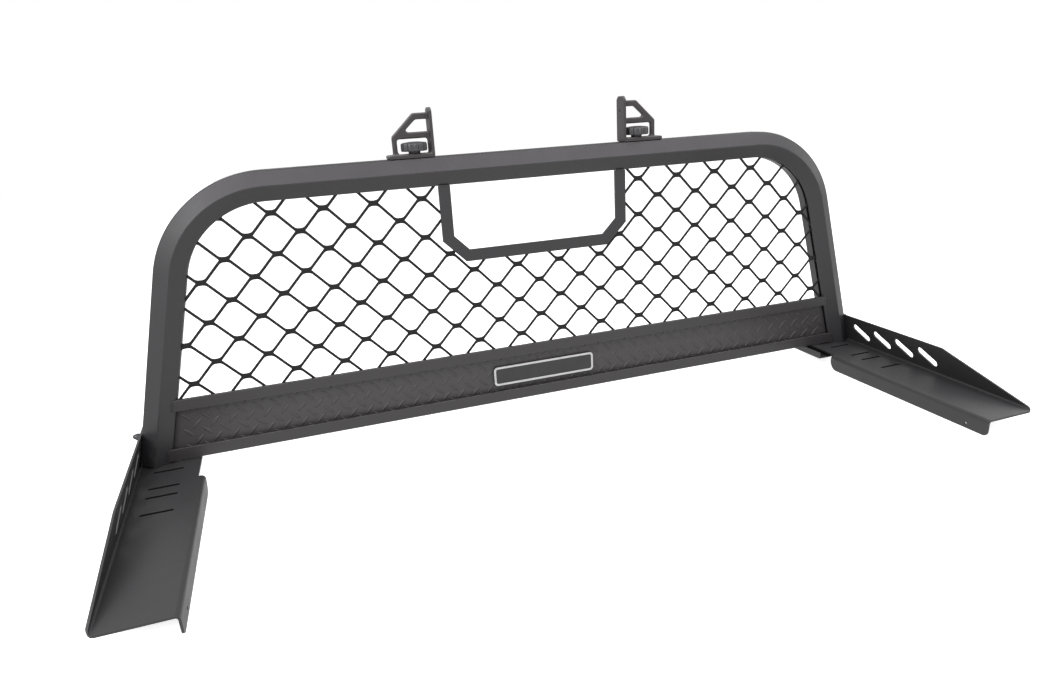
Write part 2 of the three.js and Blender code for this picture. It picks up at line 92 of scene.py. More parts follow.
FLATS = 60 * MM                  # hoop tube across flats
WALL = 3.2 * MM
TUBE_Y = 12 * MM                 # centre line's depth: the mesh lies at 0, in front of it
TOP_Z = 548.3 * MM               # centre line of the top run
FOOT_X = 866.5 * MM              # centre line of an upright at z = 0
SPLAY = 0.262                    # an upright leans inwards by this much for each unit of height
THETA = math.atan(SPLAY)
BEND_RADIUS = 205 * MM           # of the centre line at a shoulder
BEND_Z = TOP_Z - BEND_RADIUS
BEND_X = FOOT_X - SPLAY * BEND_Z - BEND_RADIUS / math.cos(THETA)
HEX_R = FLATS / math.sqrt(3)
FOOT_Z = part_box("hoop_tube")[0][2]

PITCH_X = 50.8 * MM              # half the width of a diamond of the mesh
PITCH_Z = 41.15 * MM             # half its height
ROW_Z = 494.7 * MM               # centre of a row of openings
MESH_BOTTOM_Z = 119 * MM
MESH_HALF = 1.5 * MM             # half the mesh's thickness

WINDOW_HALF = 192.4 * MM         # half the width of the clear opening
WINDOW_BOTTOM = 376.6 * MM
WINDOW_CHAMFER = 33 * MM
WINDOW_BAR = 25.4 * MM
CHAMFER_GROWTH = 0.6             # a chamfer's legs grow by this share of an outward offset

# ---------------------------------------------------------------- materials

RUBBED = "rubbed"               # face attribute: the rounded edges, where the finish is polished by handling


class Nodes:
    """Short calls for building one material's node tree."""

    def __init__(self, name):
        self.material = bpy.data.materials.new(name)
        self.material.use_nodes = True
        self.tree = self.material.node_tree
        self.shader = self.tree.nodes["Principled BSDF"]
        self.place = self.tree.nodes.new("ShaderNodeTexCoord").outputs["Object"]

    def node(self, kind, **inputs):
        made = self.tree.nodes.new(kind)
        for key, value in inputs.items():
            socket = made.inputs[key.replace("_", " ")]
            if isinstance(value, bpy.types.NodeSocket):
                self.tree.links.new(value, socket)
            else:
                socket.default_value = value
        return made

    def noise(self, scale, detail=2, stretch=None):
        where = self.place
        if stretch:
            where = self.node("ShaderNodeMapping", Vector=where, Scale=stretch).outputs[0]
        made = self.node("ShaderNodeTexNoise", Vector=where, Scale=scale, Detail=detail)
        return made.outputs["Fac"]

    def ramp(self, factor, *stops):
        made = self.node("ShaderNodeValToRGB", Fac=factor)
        elements = made.color_ramp.elements
        while len(elements) < len(stops):
            elements.new(0.5)
        for element, (place, value) in zip(elements, stops):
            element.position = place
            grey = value if isinstance(value, tuple) else (value,) * 3
            element.color = (*grey, 1)
        return made.outputs["Color"]

    def mix(self, factor, first, second):
        made = self.tree.nodes.new("ShaderNodeMix")
        made.data_type = "RGBA"
        for socket, value in ((made.inputs[0], factor), (made.inputs[6], first), (made.inputs[7], second)):
            if isinstance(value, bpy.types.NodeSocket):
                self.tree.links.new(value, socket)
            else:
                socket.default_value = (*value, 1) if isinstance(value, tuple) else value
        return made.outputs[2]

    def edges(self):
        """1 on the rounded edges of a piece, 0 on its faces."""
        made = self.tree.nodes.new("ShaderNodeAttribute")
        made.attribute_name = RUBBED
        return made.outputs["Fac"]

    def upward(self):
        """The upward part of a face's direction, 1 where it looks straight up."""
        direction = self.tree.nodes.new("ShaderNodeTexCoord").outputs["Normal"]
        return self.node("ShaderNodeSeparateXYZ", Vector=direction).outputs["Z"]

    def bump(self, height, strength, distance):
        made = self.node("ShaderNodeBump", Height=height, Strength=strength, Distance=distance)
        self.link(made.outputs[0], "Normal")

    def link(self, output, socket):
        self.tree.links.new(output, self.shader.inputs[socket])

    def set(self, **values):
        for key, value in values.items():
            self.shader.inputs[key.replace("_", " ")].default_value = value
        return self


def powder_coat(name, base, rough=0.46, grain=0.35, worn=0.05, specular=0.5, painted_top_light=0.0):
    """Satin black powder coat: orange-peel grain, faint mottling, rubbed edges, painted light on what looks
    up.
    """
    n = Nodes(name)
    mottle = n.noise(7, 4)
    speck = n.noise(1100, 2)
    tone = n.mix(mottle, tuple(c * 0.9 for c in base), tuple(c * 1.1 for c in base))
    speckled = n.mix(n.ramp(speck, (0.45, 0.0), (0.75, 0.5)), tone, tuple(c * 1.8 for c in base))
    scuffed = n.ramp(n.noise(60, 5), (0.42, 0.1), (0.62, 1.0))
    edge = n.mix(n.edges(), (0.0, 0.0, 0.0), scuffed)
    # Painted light: faces that look up get a lighter colour, as if lit from above, while faces that look down
    # keep the darker one as shade.
    painted_top_light_mask = n.ramp(n.upward(), (0.05, 0.0), (0.8, 1.0))
    painted_top_lit = n.mix(painted_top_light_mask, speckled, tuple(c + painted_top_light for c in base))
    n.link(n.mix(edge, painted_top_lit, tuple(c + worn for c in base)), "Base Color")
    smudge = n.noise(18, 5)
    n.link(n.ramp(smudge, (0.3, rough - 0.035), (0.7, rough + 0.035)), "Roughness")
    peel = n.noise(420, 2)
    n.bump(n.mix(0.45, peel, speck), grain, 0.00025)
    return n.set(Specular_IOR_Level=specular).material


COAT = powder_coat("powder_coat", (0.0162, 0.0152, 0.0165))
# Rails: the tube's black coat painted lighter, standing in for the light their front faces catch.
LIT_RAIL_COAT = powder_coat("rail_coat_painted_light", (0.0225, 0.0208, 0.0218))
# Bracket coat: a little painted top light, lighter where the plates look up.
BRACKET_COAT = powder_coat("bracket_coat", (0.0165, 0.0162, 0.0168), painted_top_light=0.009)
# Tread sheet: the black coat painted lighter, standing in for the light on its front face.
LIT_TREAD_COAT = powder_coat("tread_coat_painted_light", (0.031, 0.0288, 0.0298), rough=0.42, worn=0.1)
MESH_COAT = powder_coat("mesh_coat", (0.006, 0.0057, 0.006), rough=0.5, worn=0.03, specular=0.25)
# Cast coat: strong painted top light, lighter on top faces and left dark on the undersides as shade.
CAST = powder_coat("cast_coat", (0.027, 0.0238, 0.0242), rough=0.42, grain=0.8, specular=0.4, painted_top_light=0.05)


def knob_plastic():
    """Moulded black plastic, finely textured."""
    n = Nodes("knob_plastic")
    n.link(n.ramp(n.noise(60, 3), (0.3, (0.028, 0.027, 0.029)), (0.7, (0.036, 0.035, 0.037))), "Base Color")
    n.link(n.ramp(n.noise(90, 4), (0.3, 0.34), (0.7, 0.46)), "Roughness")
    n.bump(n.noise(1400, 2), 0.25, 0.0002)
    return n.material


def nylon():
    """Black nylon of the washers."""
    n = Nodes("washer_nylon")
    n.link(n.ramp(n.noise(40, 3), (0.3, 0.008), (0.7, 0.014)), "Base Color")
    n.link(n.ramp(n.noise(120, 3), (0.3, 0.45), (0.7, 0.6)), "Roughness")
    n.bump(n.noise(900, 2), 0.15, 0.0002)
    return n.material


def plated(name, dark, bright, rough):
    """Turned and plated steel, with fine rings of tool marks and cloudy passivation."""
    n = Nodes(name)
    n.link(n.ramp(n.noise(120, 4), (0.35, dark), (0.65, bright)), "Base Color")
    n.link(n.ramp(n.noise(240, 3), (0.3, rough - 0.08), (0.7, rough + 0.1)), "Roughness")
    n.bump(n.noise(700, 2, (1, 1, 8)), 0.2, 0.0002)
    return n.set(Metallic=1.0).material


def painted_slot_shade():
    """Walls of the slots, rough and painted nearly black as the shade inside the slots."""
    n = Nodes("painted_slot_shade")
    # Painted shade: a near-black colour stands in for the shade that fills the slots.
    n.link(n.ramp(n.noise(300, 3), (0.3, 0.0012), (0.7, 0.003)), "Base Color")
    n.link(n.ramp(n.noise(500, 2), (0.3, 0.7), (0.7, 0.9)), "Roughness")
    n.bump(n.noise(900, 2, (1, 1, 0.2)), 0.3, 0.0002)
    return n.set(Specular_IOR_Level=0.1).material


PAINTED_SLOT_SHADE = painted_slot_shade()
PLASTIC = knob_plastic()
NYLON = nylon()
ZINC = plated("zinc_steel", (0.42, 0.42, 0.43), (0.55, 0.55, 0.54), 0.34)
BLACK_ZINC = plated("black_fastener", (0.045, 0.045, 0.05), (0.07, 0.07, 0.075), 0.4)


def badge_field():
    """Dark satin face of the badge."""
    n = Nodes("badge_field")
    n.link(n.ramp(n.noise(30, 3), (0.3, 0.012), (0.7, 0.018)), "Base Color")
    n.link(n.ramp(n.noise(200, 3), (0.3, 0.3), (0.7, 0.42)), "Roughness")
    n.bump(n.noise(1500, 2), 0.1, 0.0001)
    return n.material


def badge_rim():
    """Brushed bright border."""
    n = Nodes("badge_rim")
    brushed = n.noise(500, 3, (0.12, 1, 1))
    n.link(n.ramp(brushed, (0.3, 0.42), (0.7, 0.62)), "Base Color")
    n.link(n.ramp(brushed, (0.3, 0.24), (0.7, 0.4)), "Roughness")
    n.bump(brushed, 0.2, 0.0001)
    return n.set(Metallic=1.0).material


BADGE_FIELD = badge_field()
BADGE_RIM = badge_rim()

# ---------------------------------------------------------------- mesh helpers


def new_piece(name, bm, materials, body, angle=30, weighted=True):
    """Turns a bmesh into a piece that rides on a body, smooth up to an angle between faces."""
    mesh = bpy.data.meshes.new(name)
    bm.to_mesh(mesh)
    bm.free()
    mesh.shade_smooth()
    mesh.set_sharp_from_angle(angle=math.radians(angle))
    for material in materials:
        mesh.materials.append(material)
    piece = bpy.data.objects.new(name, mesh)
    SCENE.collection.objects.link(piece)
    if weighted:
        modifier = piece.modifiers.new("weighted", "WEIGHTED_NORMAL")
        modifier.keep_sharp = True
        modifier.weight = 80
    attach(piece, body)
    return piece


def copied(node):
    """A node's faces as flat outlines, without the triangle seams."""
    bm = bmesh.new()
    bm.from_mesh(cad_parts[node].data)
    bmesh.ops.remove_doubles(bm, verts=bm.verts, dist=1e-6)
    bmesh.ops.dissolve_limit(bm, angle_limit=math.radians(0.6), verts=bm.verts, edges=bm.edges)
    return bm


def bevel(bm, width, segments=3, angle=24):
    """Rounds the edges sharper than an angle, and marks the faces that this makes as rubbed."""
    rubbed = bm.faces.layers.float.new(RUBBED)
    sharp = [e for e in bm.edges if len(e.link_faces) == 2
             and e.calc_face_angle(0) > math.radians(angle)]
    made = bmesh.ops.bevel(bm, geom=sharp, offset=width, segments=segments, profile=0.6,
                           affect="EDGES", clamp_overlap=True)
    for face in made["faces"]:
        if face.calc_area() < 40 * width * width or len(face.verts) == 4:
            face[rubbed] = 1.0


def refined(node, body, material, width, segments=3, angle=24):
    """A node's own shape with its edges rounded."""
    bm = copied(node)
    bevel(bm, width, segments, angle)
    piece = new_piece(node + "_skin", bm, [material], body)
    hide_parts(node)
    return piece


def quad_loops(bm, loops):
    """Faces between successive closed loops of the same number of vertices."""
    for first, second in zip(loops, loops[1:]):
        count = len(first)
        for i in range(count):
            j = (i + 1) % count
            bm.faces.new((first[i], first[j], second[j], second[i]))


# ---------------------------------------------------------------- hoop tube

BEND_PARTS = 30
EDGE_ROUND = 4.2 * MM            # outside radius of the tube's corners
ROUND_PARTS = 4
# How far the slot that takes the mesh reaches in front of the mesh's middle and behind it.
PANEL_SLOT = {"front": 2.8 * MM, "rear": 6.2 * MM}
STOP_SLOT = {"half_length": 505 * MM, "half_width": 4.5 * MM}
SLOT_END_PARTS = 4
CLOSED_HALF = 1e-5               # half the gap between the stop slot's edges where there is no slot
TOE_X = 882 * MM                 # outside this the foot rises at 45 degrees, clear of the sheet's bend


def hoop_stations():
    """Places along the hoop's centre line: x, z and the angle of the outward normal."""
    side = [(FOOT_X, 0.0, THETA)]
    for i in range(BEND_PARTS + 1):
        angle = THETA + (math.pi / 2 - THETA) * i / BEND_PARTS
        side.append((BEND_X + BEND_RADIUS * math.cos(angle), BEND_Z + BEND_RADIUS * math.sin(angle), angle))
    r = STOP_SLOT["half_width"]
    ends = [STOP_SLOT["half_length"] - r * (1 - math.cos(math.pi / 2 * i / SLOT_END_PARTS))
            for i in range(SLOT_END_PARTS + 1)]
    side += [(x, TOP_Z, math.pi / 2) for x in ends]
    mirror = [(-x, z, math.pi - a) for x, z, a in reversed(side)]
    return side + mirror


def rounded_hexagon():
    """Rounded outside corners of the section: for each, its points as (towards -Y, inwards)."""
    corners = [(HEX_R * math.cos(i * math.pi / 3), HEX_R * math.sin(i * math.pi / 3)) for i in range(6)]
    points = {}
    reach = EDGE_ROUND / math.cos(math.pi / 6)
    for i, (u, v) in enumerate(corners):
        middle = i * math.pi / 3
        cu, cv = u * (1 - reach / HEX_R), v * (1 - reach / HEX_R)
        points[i] = [(cu + EDGE_ROUND * math.cos(middle + math.pi / 6 * (2 * k / ROUND_PARTS - 1)),
                      cv + EDGE_ROUND * math.sin(middle + math.pi / 6 * (2 * k / ROUND_PARTS - 1)))
                     for k in range(ROUND_PARTS + 1)]
    return points


def hoop_section():
    """The closed section, starting beside the mesh slot, with the four points of the stop slot marked."""
    outer = rounded_hexagon()
    inner_r = HEX_R - WALL * 2 / math.sqrt(3)
    inner = {i: (inner_r * math.cos(i * math.pi / 3), inner_r * math.sin(i * math.pi / 3)) for i in range(6)}
    face = FLATS / 2
    lip = face - WALL
    front, rear = TUBE_Y + PANEL_SLOT["front"], TUBE_Y - PANEL_SLOT["rear"]
    out = [(front, face)] + outer[1][::-1] + outer[0][::-1] + outer[5][::-1]
    out += ["outer_near", "outer_far"] + outer[4][::-1] + outer[3][::-1] + outer[2][::-1]
    out += [(rear, face), (rear, lip), inner[2], inner[3], inner[4]]
    out += ["inner_far", "inner_near", inner[5], inner[0], inner[1], (front, lip)]
    return out


def slot_half_width(x, z):
    """Half width of the stop slot at a station, or None where the station is outside it."""
    half_length, r = STOP_SLOT["half_length"], STOP_SLOT["half_width"]
    if abs(x) > half_length + 1e-6 or z <= TOP_Z - 1e-6:
        return None
    inside = half_length - abs(x)
    return r if inside > r else math.sqrt(max(r * r - (r - inside) ** 2, 0))


def build_hoop():
    """The section swept along the hoop, hollow, with the stop slot cut through the wall of the top run."""
    bm = bmesh.new()
    section = hoop_section()
    marks = {mark: section.index(mark) for mark in ("outer_near", "outer_far", "inner_far", "inner_near")}
    face = FLATS / 2
    heights = {"outer": -face, "inner": -(face - WALL)}
    rings = []
    slots = []
    for x, z, angle in hoop_stations():
        out = Vector((math.cos(angle), 0, math.sin(angle)))
        along = Vector((-math.sin(angle), 0, math.cos(angle)))
        half = slot_half_width(x, z)
        spread = max(half or 0.0, CLOSED_HALF)
        ring = []
        for point in section:
            if isinstance(point, str):
                level, side = point.split("_")
                point = (spread if side == "near" else -spread, heights[level])
            u, v = point
            place = Vector((x, TUBE_Y - u, z)) - out * v
            if z < 1e-6:
                # Slid along the upright to the foot's cut, which depends on where the point lands.
                for _ in range(3):
                    floor = FOOT_Z + max(0.0, abs(place.x) - TOE_X)
                    place += along * ((floor - place.z) / along.z)
            ring.append(bm.verts.new(place))
        rings.append(ring)
        slots.append(half is not None)
    count = len(section)
    near, far = marks["outer_near"], marks["inner_far"]
    for k in range(len(rings) - 1):
        first, second = rings[k], rings[k + 1]
        open_here = slots[k] and slots[k + 1]
        for i in range(count):
            if open_here and i in (near, far):
                continue
            j = (i + 1) % count
            bm.faces.new((first[i], second[i], second[j], first[j]))
        if open_here:
            for a, b in (("outer_near", "inner_near"), ("inner_far", "outer_far")):
                p, q = marks[a], marks[b]
                bm.faces.new((first[p], first[q], second[q], second[p]))
    for ring in (rings[0], rings[-1]):
        bm.faces.new(ring)
    bmesh.ops.remove_doubles(bm, verts=bm.verts, dist=3e-5)
    bmesh.ops.recalc_face_normals(bm, faces=bm.faces)
    piece = new_piece("hoop", bm, [COAT], "frame", 32)
    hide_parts("hoop_tube")


# ---------------------------------------------------------------- expanded-metal mesh

STRAND_HALF = 2.95 * MM           # half width of a strand's face
KNOT_HALF_X = 9.8 * MM           # half length of a knot
KNOT_HALF_Z = 3.8 * MM           # half height of a knot
OPENING_TOP = 35.3 * MM          # half height of an opening
OPENING_ROUND = 12 * MM
ROUND_STEPS = 8
# Shares of a quarter's length where it has points: closer together near the knots.
MESH_STEPS = (0, 0.04, 0.08, 0.12, 0.16, 0.2, 0.28, 0.39, 0.5, 0.61, 0.72, 0.8, 0.84, 0.88, 0.92, 0.96, 1)


def along_line(points, steps):
    """Points at the given shares of a polyline's length."""
    lengths = [0.0]
    for a, b in zip(points, points[1:]):
        lengths.append(lengths[-1] + (b - a).length)
    out = []
    for step in steps:
        want = step * lengths[-1]
        k = next(i for i in range(1, len(points)) if want <= lengths[i] + 1e-12)
        share = (want - lengths[k - 1]) / (lengths[k] - lengths[k - 1])
        out.append(points[k - 1].lerp(points[k], share))
    return out


def quarter_lines():
    """One quarter of an opening's edge and of the mid-line of the metal round it, from its tip to its top."""
    start = Vector((PITCH_X - KNOT_HALF_X, KNOT_HALF_Z))
    end = Vector((KNOT_HALF_X, PITCH_Z - KNOT_HALF_Z))
    middle = [Vector((PITCH_X, 0)), start, end, Vector((0, PITCH_Z))]
    run = (end - start).normalized()
    inward = Vector((-run.y, run.x))
    base = (start + end) / 2 + inward * STRAND_HALF
    tip = base - run * (base.y / run.y)
    corner = base + run * ((OPENING_TOP - base.y) / run.y)
    turn = math.acos(-run.x)
    reach = OPENING_ROUND * math.tan(turn / 2)
    arc_start = corner - run * reach
    centre = arc_start + inward * OPENING_ROUND
    edge = [tip, arc_start]
    spoke = -inward
    for i in range(1, ROUND_STEPS + 1):
        a = turn * i / ROUND_STEPS
        edge.append(centre + OPENING_ROUND * Vector((spoke.x * math.cos(a) - spoke.y * math.sin(a),
                                                     spoke.x * math.sin(a) + spoke.y * math.cos(a))))
    edge.append(Vector((0, OPENING_TOP)))
    return along_line(edge, MESH_STEPS), along_line(middle, MESH_STEPS)


def full_loop(quarter):
    """Four mirrored quarters as one closed loop."""
    first = [(p.x, p.y) for p in quarter[:-1]]
    second = [(-p.x, p.y) for p in reversed(quarter[1:])]
    top = first + second
    return top + [(-x, -z) for x, z in top]


# Section of the metal, out to the opening and back: share of the way there, and depth in front of the middle.
STRAND_PROFILE = ((0, 1.0), (0.5, 1.0), (0.82, 0.86), (0.97, 0.5), (1.0, 0.0), (0.97, -0.5), (0.82, -0.86),
                  (0.5, -1.0), (0, -1.0))
MESH_REACH = 20 * MM             # the mesh runs on inside the tube to this distance from its centre line
MESH_MARGIN = 3 * MM             # openings this far past that reach are still made, then trimmed
MESH_ROWS = range(-1, 11)
MESH_COLUMNS = range(-17, 18)
MESH_BEHIND_BAR = 12 * MM        # the mesh ends behind the bars, this far outside the clear opening


def inside_hoop(x, z, inward):
    """Whether a point lies inside the hoop's centre line moved inwards."""
    if z > TOP_Z - inward:
        return False
    dx, dz = abs(x) - BEND_X, z - BEND_Z
    if dx * math.cos(THETA) + dz * math.sin(THETA) > BEND_RADIUS - inward:
        return False
    if THETA < math.atan2(dz, dx) < math.pi / 2:
        return math.hypot(dx, dz) < BEND_RADIUS - inward
    return True


def build_mesh_panel():
    """A ring of metal round each opening, joined to its neighbours, then trimmed to the hoop and window."""
    bm = bmesh.new()
    edge, middle = quarter_lines()
    edge, middle = full_loop(edge), full_loop(middle)
    for row in MESH_ROWS:
        for column in MESH_COLUMNS:
            if (row + column) % 2:
                continue
            cx, cz = column * PITCH_X, ROW_Z - row * PITCH_Z
            inside = any(inside_hoop(cx + dx, cz + dz, MESH_REACH - MESH_MARGIN) for dx, dz in middle)
            if not inside or cz + PITCH_Z < MESH_BOTTOM_Z:
                continue
            loops = []
            for share, depth in STRAND_PROFILE:
                loop = []
                for (ex, ez), (mx, mz) in zip(edge, middle):
                    loop.append(bm.verts.new((cx + mx + (ex - mx) * share, -depth * MESH_HALF,
                                              cz + mz + (ez - mz) * share)))
                loops.append(loop)
            quad_loops(bm, loops)
    bmesh.ops.remove_doubles(bm, verts=bm.verts, dist=2e-5)
    half = WINDOW_HALF + MESH_BEHIND_BAR
    low = WINDOW_BOTTOM - MESH_BEHIND_BAR
    chamfer = WINDOW_CHAMFER + CHAMFER_GROWTH * MESH_BEHIND_BAR
    planes = [((0, 0, MESH_BOTTOM_Z), (0, 0, 1)), ((half, 0, 0), (1, 0, 0)), ((-half, 0, 0), (1, 0, 0)),
              ((0, 0, low), (0, 0, 1)), ((half, 0, low + chamfer), (1, 0, -1)),
              ((-half, 0, low + chamfer), (-1, 0, -1))]
    for point, normal in planes:
        bmesh.ops.bisect_plane(bm, geom=bm.verts[:] + bm.edges[:] + bm.faces[:], dist=1e-7,
                               plane_co=point, plane_no=normal)

    def dropped(face):
        c = face.calc_center_median()
        if c.z < MESH_BOTTOM_Z or not inside_hoop(c.x, c.z, MESH_REACH):
            return True
        return abs(c.x) < half and c.z > low and c.z - low > abs(c.x) - half + chamfer

    bmesh.ops.delete(bm, geom=[f for f in bm.faces if dropped(f)], context="FACES")
    bmesh.ops.remove_doubles(bm, verts=bm.verts, dist=1e-5)
    rim = [e for e in bm.edges if e.is_boundary]
    bmesh.ops.holes_fill(bm, edges=rim, sides=0)
    bmesh.ops.recalc_face_normals(bm, faces=bm.faces)
    piece = new_piece("expanded_mesh", bm, [MESH_COAT], "frame", 50, weighted=False)
    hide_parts("mesh_panel")


# ---------------------------------------------------------------- brake-light window

(_, WINDOW_FRONT_Y, _), (_, WINDOW_BACK_Y, WINDOW_TOP_Z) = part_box("window_frame")


def window_outline(offset):
    """The clear opening's outline moved outwards, from one top corner round to the other."""
    x = WINDOW_HALF + offset
    z = WINDOW_BOTTOM - offset
    c = WINDOW_CHAMFER + offset * CHAMFER_GROWTH
    return [(-x, WINDOW_TOP_Z), (-x, z + c), (-x + c, z), (x - c, z), (x, z + c), (x, WINDOW_TOP_Z)]


def build_window():
    """Five flat bars mitred and butt-welded, each with its own rounded edges."""
    bm = bmesh.new()
    inner, outer = window_outline(0), window_outline(WINDOW_BAR)
    for i in range(len(inner) - 1):
        part = bmesh.new()
        quad = [inner[i], inner[i + 1], outer[i + 1], outer[i]]
        front = [part.verts.new((x, WINDOW_FRONT_Y, z)) for x, z in quad]
        back = [part.verts.new((x, WINDOW_BACK_Y, z)) for x, z in quad]
        quad_loops(part, [front, back])
        part.faces.new(front[::-1])
        part.faces.new(back)
        bevel(part, 1.2 * MM)
        mesh = bpy.data.meshes.new("bar")
        part.to_mesh(mesh)
        part.free()
        bm.from_mesh(mesh)
        bpy.data.meshes.remove(mesh)
    bmesh.ops.recalc_face_normals(bm, faces=bm.faces)
    piece = new_piece("window_bars", bm, [COAT], "frame")
    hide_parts("window_frame")


# ---------------------------------------------------------------- tread plate

LUG = {"length": 29 * MM, "width": 6.6 * MM, "height": 1.3 * MM}
LUG_COLUMNS = {"count": 46, "pitch": 35.5 * MM}
LUG_ROWS = {"count": 3, "pitch": 35 * MM}
# Slope of a family of lugs, and x and z of its first.
LUG_FAMILIES = ((-math.pi / 4, -791 * MM, 95 * MM), (math.pi / 4, -773.3 * MM, 112.5 * MM))
# Rings of a lug from its buried foot to its crown: share of its outline, and of its height.
LUG_RINGS = ((1.0, -0.25), (1.0, 0.0), (0.86, 0.6), (0.62, 0.92), (0.3, 1.0))
LUG_PARTS = 24
TREAD_FRONT_Y, TREAD_BOTTOM_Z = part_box("tread_plate")[0][1:]


def add_lug(bm, x, z, slope):
    """A lens-shaped raised bar on the front of the sheet."""
    along = Vector((math.cos(slope), 0, math.sin(slope)))
    across = Vector((-math.sin(slope), 0, math.cos(slope)))
    rings = []
    for share, rise in LUG_RINGS:
        y = TREAD_FRONT_Y - rise * LUG["height"]
        ring = []
        for k in range(LUG_PARTS):
            a = 2 * math.pi * k / LUG_PARTS
            u = LUG["length"] / 2 * math.cos(a) * (0.35 + 0.65 * share)
            v = LUG["width"] / 2 * math.sin(a) * share * (1 - 0.25 * abs(math.cos(a)))
            ring.append(bm.verts.new(Vector((x, y, z)) + along * u + across * v))
        rings.append(ring)
    quad_loops(bm, rings)
    bm.faces.new(rings[-1])


def build_tread_plate():
    """The sheet with two families of lugs at right angles, none running past its edges."""
    bm = copied("tread_plate")
    reach = LUG["length"] * 0.4
    for slope, x0, z0 in LUG_FAMILIES:
        for column in range(LUG_COLUMNS["count"]):
            for row in range(LUG_ROWS["count"]):
                x, z = x0 + column * LUG_COLUMNS["pitch"], z0 - row * LUG_ROWS["pitch"]
                limit = FOOT_X - SPLAY * z - FLATS / 2 / math.cos(THETA) - reach
                if abs(x) < limit and TREAD_BOTTOM_Z + reach < z:
                    add_lug(bm, x, z, slope)
    bmesh.ops.recalc_face_normals(bm, faces=bm.faces)
    piece = new_piece("tread_sheet", bm, [LIT_TREAD_COAT], "frame", 40, weighted=False)
    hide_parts("tread_plate")


# ---------------------------------------------------------------- badge

BADGE_RIM_WIDTH = 5 * MM
BADGE_RIM_HEIGHT = 1 * MM


def build_badge():
    """A blank dark field inside a bright raised rim."""
    bm = copied("badge_plate")
    bevel(bm, 0.4 * MM, 2)
    low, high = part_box("badge_plate")
    front = low[1]
    for face in bm.faces:
        c = face.calc_center_median()
        raised = c.y < front + BADGE_RIM_HEIGHT and face.normal.y < 0.3
        inside = (low[0] + BADGE_RIM_WIDTH < c.x < high[0] - BADGE_RIM_WIDTH
                  and low[2] + BADGE_RIM_WIDTH < c.z < high[2] - BADGE_RIM_WIDTH)
        field = inside and c.y > front + 0.9 * BADGE_RIM_HEIGHT
        face.material_index = 1 if raised and not field else 0
    piece = new_piece("badge", bm, [BADGE_FIELD, BADGE_RIM], "frame")
    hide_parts("badge_plate")


# ---------------------------------------------------------------- bed-rail brackets

SHEET = 4 * MM                   # thickness of the bent sheet
# The slots in a plate lie between two depths, and up to half_length either side of x.
PLATE_SLOTS = {"from": -226 * MM, "to": -36 * MM, "x": 837 * MM, "half_length": 31 * MM}


def build_bracket(side):
    """The bent sheet, with the walls of the slots in its plate painted nearly black as shade."""
    piece = refined("rail_bracket_" + side, "frame", BRACKET_COAT, 0.7 * MM, 2)
    piece.data.materials.append(PAINTED_SLOT_SHADE)
    # The slot walls take the painted shade material.
    for face in piece.data.polygons:
        x, y, z = face.center
        beside = abs(abs(x) - PLATE_SLOTS["x"]) < PLATE_SLOTS["half_length"]
        along = PLATE_SLOTS["from"] < y < PLATE_SLOTS["to"]
        if beside and along and -MM < z < SHEET + MM and abs(face.normal.z) < 0.9:
            face.material_index = 1


# ---------------------------------------------------------------- load stops, knobs

CAST_VOXEL = 0.8 * MM
CAST_ROUNDS = {"profile": 80, "smooth": 20}     # relaxing across the face only, then in every direction
CAST_SWELL = 0.9 * MM


def cast_copy(node):
    """A node as a casting: remeshed finely, relaxed so that its edges are filleted, and swelled back."""
    bm = copied(node)
    mesh = bpy.data.meshes.new(node + "_raw")
    bm.to_mesh(mesh)
    bm.free()
    raw = bpy.data.objects.new(node + "_raw", mesh)
    SCENE.collection.objects.link(raw)
    remesh = raw.modifiers.new("remesh", "REMESH")
    remesh.mode = "VOXEL"
    remesh.voxel_size = CAST_VOXEL
    for name, count in CAST_ROUNDS.items():
        smooth = raw.modifiers.new(name, "SMOOTH")
        smooth.factor = 0.5
        smooth.use_y = name == "smooth"
        smooth.iterations = count
    swelling = raw.modifiers.new("swell", "DISPLACE")
    swelling.mid_level = 0
    swelling.strength = CAST_SWELL
    done = bpy.data.meshes.new_from_object(raw.evaluated_get(bpy.context.evaluated_depsgraph_get()))
    bpy.data.objects.remove(raw)
    bm = bmesh.new()
    bm.from_mesh(done)
    bpy.data.meshes.remove(done)
    low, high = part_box(node)
    for vert in bm.verts:
        vert.co = [min(max(c, a), b) for c, a, b in zip(vert.co, low, high)]
    return bm


def build_load_stop(side):
    node = "load_stop_" + side
    bm = cast_copy(node)
    piece = new_piece("cast_stop_" + side, bm, [CAST], "stop_" + side, 60, weighted=False)
    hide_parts(node)


KNOB_LOBES = 12
KNOB_FLUTE = 2.6 * MM            # depth of a flute
KNOB_BOSS = 12.5 * MM            # radius of the boss under the grip
KNOB_GRIP_Z = 592 * MM           # underside of the grip
POINTS_PER_LOBE = 14


def knob_profile(base, top, radius):
    """Height, share of the flutes' depth, and radius, from the boss up and over the dome."""
    grip = KNOB_GRIP_Z
    return (
        (base, 0, KNOB_BOSS - 1 * MM),
        (base + 0.4 * MM, 0, KNOB_BOSS),
        (grip - 0.4 * MM, 0, KNOB_BOSS),
        (grip, 0.1, radius - 3.6 * MM),
        (grip + 0.1 * MM, 0.7, radius - 1.6 * MM),
        (grip + 1.2 * MM, 1, radius - 0.3 * MM),
        (grip + 3 * MM, 1, radius),
        (top - 6.5 * MM, 1, radius),
        (top - 4 * MM, 1, radius - 0.5 * MM),
        (top - 2.6 * MM, 0.8, radius - 1.8 * MM),
        (top - 1.9 * MM, 0.4, radius - 4 * MM),
        (top - 1.5 * MM, 0.08, radius - 7 * MM),
        (top - 1.0 * MM, 0, radius - 11 * MM),
        (top - 0.3 * MM, 0, 11 * MM),
        (top - 0.3 * MM, 0, 8.6 * MM),
        (top - 0.9 * MM, 0, 8.0 * MM),
        (top - 0.9 * MM, 0, 3 * MM),
    )


